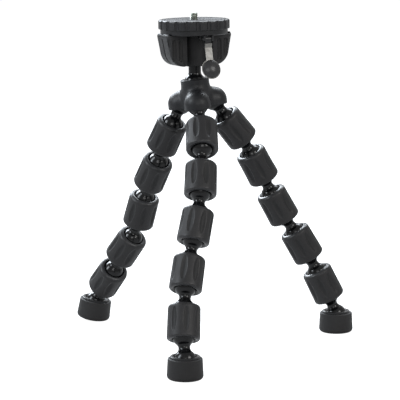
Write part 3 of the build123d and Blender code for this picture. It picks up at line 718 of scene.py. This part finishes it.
def makeBead(leg, number):
    # The profile is turned round the bead's axis; each groove lowers the wall by
    # depth * (1 - across^2)^power * (1 - along^2)^(1/2). Both are 0 in the groove's middle and 1 at
    # its almond outline, whose half width is that of its middle times (1 - along^2)^(1/2).
    sizes = beadSizes
    profile, mouthRadius, top, bottom = beadProfile()
    radius, height = spreadRound(profile, sizes["columns"])
    pitch = 2 * np.pi / sizes["grooves"]
    turned = columnAngles(sizes["columns"]) / pitch + sizes["grooveTurns"].get((leg, number), 0)
    offset = (turned % 1 - 0.5) * pitch * sizes["topRadius"]
    middle = sizes["length"] * sizes["grooveCentre"] - sizes["socketDepth"]
    along = np.clip(np.abs(height - middle) / (sizes["grooveLength"] / 2), 0, 1)
    halfWidth = sizes["grooveWidth"] / 2 * np.sqrt(np.maximum(1 - along**2, 1e-6))
    outside = (radius > sizes["topRadius"] - sizes["wallMargin"]) & (height > top + sizes["topMargin"])
    across = np.abs(offset)[None, :] / halfWidth
    bowl = np.where(outside & (along < 1), np.maximum(1 - across**2, 0), 0)
    groove = bowl**sizes["groovePower"] * np.sqrt(np.maximum(1 - along**2, 0))
    # Painted highlight: a thin light line just outside each groove's edge, carried in the rim mask beside
    # the end rims' wear
    onLip = outside & (along < sizes["lipEnd"])
    lip = np.exp(-((across - sizes["lipPlace"]) / sizes["lipWidth"])**2) * onLip
    radius = radius - sizes["grooveDepth"] * groove
    fromEnd = np.minimum(np.abs(height - top), np.abs(height - bottom))
    endRim = np.clip(1 - fromEnd / sizes["rimWidth"], 0, 1) * (radius > mouthRadius + sizes["rimMargin"])
    rim = np.maximum(endRim, sizes["lipHighlight"] * lip)
    points = turnedPoints(radius * mm, height * mm, legAxes(leg, number))
    # The groove mask is darkened in the finish as painted shade
    piece = poledSurface(f"{leg}_sleeve_{number}", points, {"groove": groove, "rim": rim})
    node = f"{leg}_bead_{number}"
    return dress(piece, node, "sleeveRubber", "black_rubber", node)


for leg in legs:
    for number in range(1, 6):
        makeBead(leg, number)
print("beads made")

# Head pieces
headOrigin = jointPlace("head_pan")
headUp = jointAxis("head_pan")
headFront = jointAxis("lock_rod_slide")         # towards the lever
headSide = headUp.cross(headFront).normalized()
headAxes = (headOrigin, headSide, headUp, headSide.cross(headUp))


def nodeHeights(node):
    # Lowest and highest height of a node above the head's ball, in millimetres
    data = frame["nodes"][node].data
    places = np.empty(len(data.vertices) * 3, np.float32)
    data.vertices.foreach_get("co", places)
    heights = (places.reshape(-1, 3) - np.array(headOrigin)) @ np.array(headUp)
    return heights.min() / mm, heights.max() / mm


screwSizes = {
    "radius": 3.175, "pitch": 1.27, "depth": 0.62, "flankGain": 1.35, "crestFlat": 0.2,
    "fadeIn": 0.5, "fadeOut": 0.3, "endDepth": 0.2, "chamfer": 0.6,
    "shaftRadius": 3.1, "footRounding": 0.2, "clipSeat": 2.4, "clipHeight": 0.7, "clipGap": 0.2,
    "collarBottom": 38.6, "flangeRadius": 7.0, "flangeHeight": 1.6, "shoulder": 0.4,
    "shadeStart": 1.0, "shadeEnd": 1.9, "rootShade": 0.8,
    "columns": 72, "perTurn": 14, "arcSteps": 3, "sharpAngle": 50,
}


def makeScrew():
    # A turned profile; over the thread the radius is radius - depth * |2 p - 1| with its crests
    # and roots clipped flat, where p is the share of a pitch at that height and angle
    sizes = screwSizes
    low, top = nodeHeights("camera_screw")
    discBottom = nodeHeights("plate_disc")[0]
    padTop = nodeHeights("rubber_pad")[1]
    flangeBottom = discBottom - sizes["flangeHeight"]
    clipTop = sizes["collarBottom"] - sizes["clipGap"]
    clipBottom = clipTop - sizes["clipHeight"]
    shoulder = sizes["radius"] + sizes["shoulder"]
    shaft, seat, flange = sizes["shaftRadius"], sizes["clipSeat"], sizes["flangeRadius"]
    corners = [
        (0, low), (shaft, low), (shaft, clipBottom), (seat, clipBottom), (seat, clipTop), (shaft, clipTop),
        (shaft, flangeBottom), (flange, flangeBottom), (flange, discBottom),
        (shoulder, discBottom), (shoulder, padTop), (sizes["radius"], padTop),
    ]
    roundings = [sizes["footRounding"]] + [0] * (len(corners) - 3)
    foot = roundedLine(corners, roundings, sizes["arcSteps"])
    heights = np.arange(padTop, top, sizes["pitch"] / sizes["perTurn"])[1:]
    thread = np.stack([np.full_like(heights, sizes["radius"]), heights], -1)
    end = np.array([[sizes["radius"] - sizes["chamfer"], top], [0, top]])
    radius, height = spreadRound(np.concatenate([foot, thread, end]), sizes["columns"])
    share = (height / sizes["pitch"] - columnAngles(sizes["columns"]) / (2 * np.pi)) % 1
    depth = np.clip(np.abs(2 * share - 1) * sizes["flankGain"] - sizes["crestFlat"], 0, 1) * sizes["depth"]
    fadeIn = np.clip((height - padTop) / sizes["fadeIn"], 0, 1)
    fade = fadeIn * np.clip((top - height) / sizes["fadeOut"] + sizes["endDepth"], 0, 1)
    onThread = (np.abs(radius - sizes["radius"]) < 1e-6) & (height > padTop)
    chamfered = sizes["radius"] - sizes["chamfer"] + (top - height)
    radius = np.where(onThread, np.minimum(radius - depth * fade, chamfered), radius)
    # Painted shade: the lowest part above the pad and the thread's roots are darkened through the shade
    # mask
    below = 1 - smoothStep(height, padTop + sizes["shadeStart"], padTop + sizes["shadeEnd"])
    shade = np.maximum(below, sizes["rootShade"] * depth * fade / sizes["depth"] * onThread)
    points = turnedPoints(radius * mm, height * mm, headAxes)
    piece = poledSurface("threaded_screw", points, {"shade": shade}, sizes["sharpAngle"])
    return dress(piece, "wheel", "screwZinc", "screw_chrome", "camera_screw")


makeScrew()

padSizes = {
    "outer": 25.0, "inner": 3.775, "edge": 0.25,
    "ribs": 9, "ribHeight": 0.28, "ribPower": 0.7, "perRib": 12, "columns": 144, "sharpAngle": 55,
}


def makePad():
    # A flat ring whose top rises in round ribs: height + ribHeight * (|sin| of the radius) ^ ribPower
    sizes = padSizes
    low, top = nodeHeights("rubber_pad")
    steps = sizes["ribs"] * sizes["perRib"] + 1
    reach = np.linspace(sizes["inner"] + sizes["edge"], sizes["outer"] - sizes["edge"], steps)
    share = (reach - reach[0]) / (reach[-1] - reach[0])
    wave = np.abs(np.sin(np.pi * sizes["ribs"] * share))**sizes["ribPower"]
    ribs = np.stack([reach, top - sizes["ribHeight"] + sizes["ribHeight"] * wave], -1)
    wallTop = top - sizes["ribHeight"] - sizes["edge"] / 2
    inner = [(sizes["inner"], low), (sizes["inner"], wallTop)]
    outer = [(sizes["outer"], wallTop), (sizes["outer"], low)]
    radius, height = spreadRound(np.concatenate([inner, ribs, outer]), sizes["columns"])
    points = turnedPoints(radius * mm, height * mm, headAxes)
    piece = ringSurface("ribbed_pad", points, sizes["sharpAngle"])
    return dress(piece, "wheel", "padRubber", "pad_rubber", "rubber_pad")


makePad()
print("screw and pad made")

# Grips
gripSizes = {
    "inner": 10.9, "bottom": 14.2, "top": 40.8, "topReach": 28.4, "footReach": 23.2,
    "footRounding": 12.0, "topRounding": 3.4, "cornerRounding": 2.7, "halfThickness": 10.9,
    "edgeInner": 0.7, "edgeOuter": 2.6, "edgeFrom": 12.0, "edgeTo": 17.0,    # rounding round the face
    "flutes": (16.5, 21.9), "fluteHalfWidth": 1.8, "fluteDepth": 1.0, "flutePower": 0.8,
    "fluteMiddle": 26.8, "fluteHalf": 6.8, "sideFlute": 26.3, "sideFluteMiddle": 32.2, "sideFluteHalf": 2.2,
    "faceMargin": 1.6,                   # how far under the face a flute reaches round its edge
    "seamHalfWidth": 0.95, "seamDepth": 0.6, "seamBottom": 15.6, "seamTop": 36.5, "seamFade": 1,
    "seamInset": 1,                      # the seam starts this far outwards of the face's middle
    "stepHeight": 38.4, "stepInner": 26.8, "stepWall": 0.4, "stepGrowth": 0.8,
    "stepFrom": 4.0, "stepTo": 9.5,
    "rimWear": 0.8, "rimRings": (3, 8),  # rings inside and outside the face's edge
    "outlinePoints": 264, "arcSteps": 16, "faceRings": 70, "edgeRings": 8, "sideRings": 43,
    "sharpAngle": 60,
}


def gripOutline(middleHeight):
    # The grip's side view as evenly spaced points, and the unit normal at each
    sizes = gripSizes
    inner, bottom, top = sizes["inner"], sizes["bottom"], sizes["top"]
    corners = [
        (inner, middleHeight), (inner, bottom), (sizes["footReach"], bottom),
        (sizes["topReach"], top), (inner, top), (inner, middleHeight),
    ]
    roundings = [sizes[part + "Rounding"] for part in ("corner", "foot", "top", "corner")]
    outline = roundedLine(corners, roundings, sizes["arcSteps"])
    lengths = np.concatenate([[0], np.cumsum(np.linalg.norm(np.diff(outline, axis=0), axis=1))])
    even = np.arange(sizes["outlinePoints"]) * lengths[-1] / sizes["outlinePoints"]
    loop = np.stack([np.interp(even, lengths, outline[:, 0]), np.interp(even, lengths, outline[:, 1])], -1)
    tangent = np.roll(loop, -1, 0) - np.roll(loop, 1, 0)
    normal = np.stack([tangent[:, 1], -tangent[:, 0]], -1)
    return loop, normal / np.linalg.norm(normal, axis=1)[:, None]


def makeGrip(node, hand):
    # The side view is a rounded outline drawn outwards in rings from its middle to make the front
    # face, round its edge, across the thickness, and back in to the middle of the rear face.
    # A flute sinks the face by depth * (1 - (distance / half width)^2)^power.
    sizes = gripSizes
    thick = sizes["halfThickness"]
    middleHeight = (sizes["bottom"] + sizes["top"]) / 2
    loop, normal = gripOutline(middleHeight)
    edge = sizes["edgeInner"] + (sizes["edgeOuter"] - sizes["edgeInner"]) * smoothStep(
        loop[:, 0], sizes["edgeFrom"], sizes["edgeTo"])

    turns = np.linspace(0, np.pi / 2, sizes["edgeRings"])[:, None]
    inset = edge * (1 - np.sin(turns))
    depth = thick - edge * (1 - np.cos(turns))
    arc = loop - normal * inset[..., None]
    centre = np.array([(sizes["inner"] + sizes["footReach"]) / 2, middleHeight])
    grow = np.linspace(0, 1, sizes["faceRings"])[:-1, None, None]
    face = centre + (arc[0] - centre) * grow
    across = np.linspace(1, -1, sizes["sideRings"] + 2)[1:-1, None]
    side = np.repeat(arc[-1:], len(across), 0)
    flat = np.concatenate([face, arc, side, arc[::-1], face[::-1]])
    front = np.concatenate([np.full(face.shape[:2], thick), depth, across * depth[-1],
                            -depth[::-1], np.full(face.shape[:2], -thick)])
    reach, height = flat[..., 0], flat[..., 1]

    sunk = np.zeros_like(reach)
    flutes = [(flute, sizes["fluteMiddle"], sizes["fluteHalf"]) for flute in sizes["flutes"]]
    flutes.append((sizes["sideFlute"], sizes["sideFluteMiddle"], sizes["sideFluteHalf"]))
    for middle, tall, halfTall in flutes:
        beyond = np.maximum(np.abs(height - tall) - halfTall, 0)
        gap = ((reach - middle)**2 + beyond**2) / sizes["fluteHalfWidth"]**2
        sunk = np.maximum(sunk, np.clip(1 - gap, 0, 1)**sizes["flutePower"])
    onFace = np.abs(front) > thick - sizes["faceMargin"]
    front = front - np.sign(front) * sizes["fluteDepth"] * sunk * onFace
    seam = np.clip(1 - (front / sizes["seamHalfWidth"])**2, 0, 1)**0.5
    seamStart = smoothStep(height, sizes["seamBottom"], sizes["seamBottom"] + sizes["seamFade"])
    seamEnd = 1 - smoothStep(height, sizes["seamTop"] - sizes["seamFade"], sizes["seamTop"])
    seam = seam * seamStart * seamEnd * (reach > centre[0] + sizes["seamInset"])
    outward = np.repeat(normal[None, :, 0], len(reach), 0)
    reach = reach - sizes["seamDepth"] * seam * np.clip(outward, 0, 1)
    out = np.sqrt(reach**2 + front**2)
    growth = smoothStep(np.abs(front), sizes["stepFrom"], sizes["stepTo"])
    wall = sizes["stepInner"] + sizes["stepGrowth"] * growth
    rise = smoothStep(out - wall, 0, sizes["stepWall"])
    ceiling = sizes["stepHeight"] + (sizes["top"] - sizes["stepHeight"]) * rise
    height = np.minimum(height, ceiling)

    origin, sideAxis, upAxis = (np.array(axis) for axis in headAxes[:3])
    frontAxis = np.array(headFront)
    points = origin + mm * (hand * reach[..., None] * sideAxis + height[..., None] * upAxis
                            + front[..., None] * frontAxis)
    rows = len(face)
    rim = np.zeros_like(reach)
    inside, beside = sizes["rimRings"]
    rim[rows - inside:rows + beside] = sizes["rimWear"]
    rim[-rows - beside:-rows + inside] = sizes["rimWear"]
    # The groove mask, over the flutes and the seam, is darkened in the finish as painted shade
    masks = {"groove": np.maximum(sunk * onFace, seam), "rim": rim}
    piece = poledSurface(node + "_moulding", points, masks, sizes["sharpAngle"])
    return dress(piece, "head", "gripSatin", slotOf(node), node)


for node in ("left_grip", "right_grip"):
    low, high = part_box(node)
    hand = 1 if ((low + high) / 2 - headOrigin).dot(headSide) > 0 else -1
    makeGrip(node, hand)
print("grips made")

# Hub skin
hubSizes = {
    "lobe": 10.2, "post": 11.2, "bottom": -3.6, "top": 17.6, "blend": 0.44,
    "fadeStart": 9.0, "lift": 0.14, "thickness": 0.85, "edge": 0.45,
    "postInset": 0.12, "postInnerInset": 0.9,       # how far the skin's walls sink at its upper end
    "rays": (6, 27, 260),                           # shortest reach, longest reach, steps
    "rows": 74, "columns": 288,
}


def makeHubSkin():
    # Three lobes and a post blended into one casting. At each height and angle the reach is where
    # the smooth least of the four distances, -log(sum(exp(-distance * blend))) / blend, is zero,
    # found as the outermost crossing on a ray from the hub's axis.
    sizes = hubSizes
    places = [jointPlace(leg + "_link_1_bend") for leg in legs]
    upAxis = (places[1] - places[0]).cross(places[2] - places[0]).normalized()
    if upAxis.z < 0:
        upAxis = -upAxis
    sideAxis = (Vector((1, 0, 0)) - upAxis * upAxis.x).normalized()
    backAxis = upAxis.cross(sideAxis)
    angle = columnAngles(sizes["columns"])
    heights = np.linspace(sizes["bottom"], sizes["top"], sizes["rows"])
    ray = np.linspace(*sizes["rays"])
    x = ray * np.cos(angle)[:, None]
    y = ray * np.sin(angle)[:, None]
    rising = np.maximum(heights, 0)[:, None, None]
    total = np.exp(-(ray - sizes["post"]) * sizes["blend"])
    for spot in places:
        away = (spot - hubCentre) / mm
        far = np.sqrt((x - away.dot(sideAxis))**2 + (y - away.dot(backAxis))**2 + rising**2)
        total = total + np.exp(-(far - sizes["lobe"]) * sizes["blend"])
    distance = -np.log(total) / sizes["blend"]

    def reachAt(offset):
        inside = distance < offset
        last = len(ray) - 1 - np.argmax(inside[..., ::-1], -1)
        after = np.minimum(last + 1, len(ray) - 1)
        rows, columns = np.indices(last.shape)
        low = distance[rows, columns, last] - offset
        high = distance[rows, columns, after] - offset
        return ray[last] + (ray[after] - ray[last]) * np.clip(-low / np.maximum(high - low, 1e-9), 0, 1)

    fade = smoothStep(heights, sizes["fadeStart"], sizes["top"])[:, None]
    outer = reachAt(sizes["lift"]) * (1 - fade) + (sizes["post"] - sizes["postInset"]) * fade
    toEdge = np.clip(1 - (heights - sizes["bottom"]) / sizes["edge"], 0, 1)
    outer = outer - sizes["edge"] * (1 - np.sqrt(1 - toEdge**2))[:, None]
    inner = reachAt(sizes["lift"] - sizes["thickness"]) * (1 - fade)
    inner = inner + (sizes["post"] - sizes["postInnerInset"]) * fade
    radius = np.concatenate([outer, inner[::-1]])
    height = np.repeat(np.concatenate([heights, heights[::-1]])[:, None], sizes["columns"], 1)
    points = turnedPoints(radius * mm, height * mm, (hubCentre, sideAxis, upAxis, backAxis))
    return dress(ringSurface("hub_skin", points), "hub", "hubSatin", slotOf("hub_housing"))


makeHubSkin()
print("hub skin made")

# Finishes on the CAD nodes that stay
nodeFinishes = {
    "hub_housing": "hubSatin", "head_stud": "linkGloss", "stud_nut": "innerSteel", "head_body": "headSatin",
    "screw_bush": "camSatin", "grip_screws": "innerSteel", "lever_pin": "innerSteel",
    "knurled_wheel": "wheelSatin", "plate_disc": "innerSteel", "screw_clip": "innerSteel",
    "lever_cam": "camSatin", "lever_arm": "leverSteel", "lever_paddle": "paddleGloss",
    "lock_rod": "innerSteel",
}
for leg in legs:
    nodeFinishes[leg + "_foot_ring"] = "ringGloss"
    nodeFinishes[leg + "_foot_rubber"] = "footRubber"
    for number in range(1, 7):
        nodeFinishes[f"{leg}_link_{number}"] = "linkGloss"
for node, finish in nodeFinishes.items():
    for slot in frame["nodes"][node].material_slots:
        slot.material = finishes[finish]
print("finishes on", len(nodeFinishes), "nodes")

# Floor and surroundings
surroundings = {
    "half": 6000.0, "drop": 0.2,                # the floor's half width, and how far under the feet it lies
    "floorGrey": (0.4, 0.4, 0.4, 1), "floorWhite": 0.96, "floorShine": 0.4,
    "skyColour": (0.95, 0.97, 1.0, 1), "skyStrength": 0.14, "white": (1, 1, 1, 1), "skyShine": 0.5,
}
half, drop = surroundings["half"] * mm, surroundings["drop"] * mm
floorMesh = bpy.data.meshes.new("floor")
floorCorners = [(-half, -half, 0), (half, -half, 0), (half, half, 0), (-half, half, 0)]
floorMesh.from_pydata(floorCorners, [], [(0, 1, 2, 3)])
floorMesh.transform(Matrix.Translation((0, 0, -drop)))
floor = bpy.data.objects.new("floor", floorMesh)
scene.collection.objects.link(floor)


def whiteFor(tree, shine):
    # 1 for the camera and through glass, and the share called shine in reflections
    rays = addNode(tree, "ShaderNodeLightPath")
    seen = mathNode(tree, "ADD", rays.outputs["Is Camera Ray"], rays.outputs["Is Transmission Ray"],
                    clamp=True)
    reflected = mathNode(tree, "MULTIPLY", rays.outputs["Is Glossy Ray"], shine)
    return mathNode(tree, "ADD", seen, reflected, clamp=True)


floorLook = bpy.data.materials.new("paleFloor")
floorLook.use_nodes = True
tree = floorLook.node_tree
tree.nodes.clear()
output = addNode(tree, "ShaderNodeOutputMaterial")
matte = setInputs(addNode(tree, "ShaderNodeBsdfDiffuse"), Color=surroundings["floorGrey"])
glow = setInputs(addNode(tree, "ShaderNodeEmission"), Color=surroundings["white"])
seen = whiteFor(tree, surroundings["floorShine"])
strength = mathNode(tree, "MULTIPLY", seen, surroundings["floorWhite"])
tree.links.new(strength, glow.inputs["Strength"])
both = addNode(tree, "ShaderNodeAddShader")
tree.links.new(matte.outputs[0], both.inputs[0])
tree.links.new(glow.outputs[0], both.inputs[1])
tree.links.new(both.outputs[0], output.inputs[0])
floorMesh.materials.append(floorLook)

world = bpy.data.worlds.new("studio")
scene.world = world
world.use_nodes = True
tree = world.node_tree
tree.nodes.clear()
output = addNode(tree, "ShaderNodeOutputWorld")
sky = setInputs(addNode(tree, "ShaderNodeBackground"), Color=surroundings["skyColour"],
                Strength=surroundings["skyStrength"])
white = setInputs(addNode(tree, "ShaderNodeBackground"), Color=surroundings["white"], Strength=1.0)
blend = addNode(tree, "ShaderNodeMixShader")
tree.links.new(whiteFor(tree, surroundings["skyShine"]), blend.inputs[0])
tree.links.new(sky.outputs[0], blend.inputs[1])
tree.links.new(white.outputs[0], blend.inputs[2])
tree.links.new(blend.outputs[0], output.inputs[0])
print("floor and surroundings made")
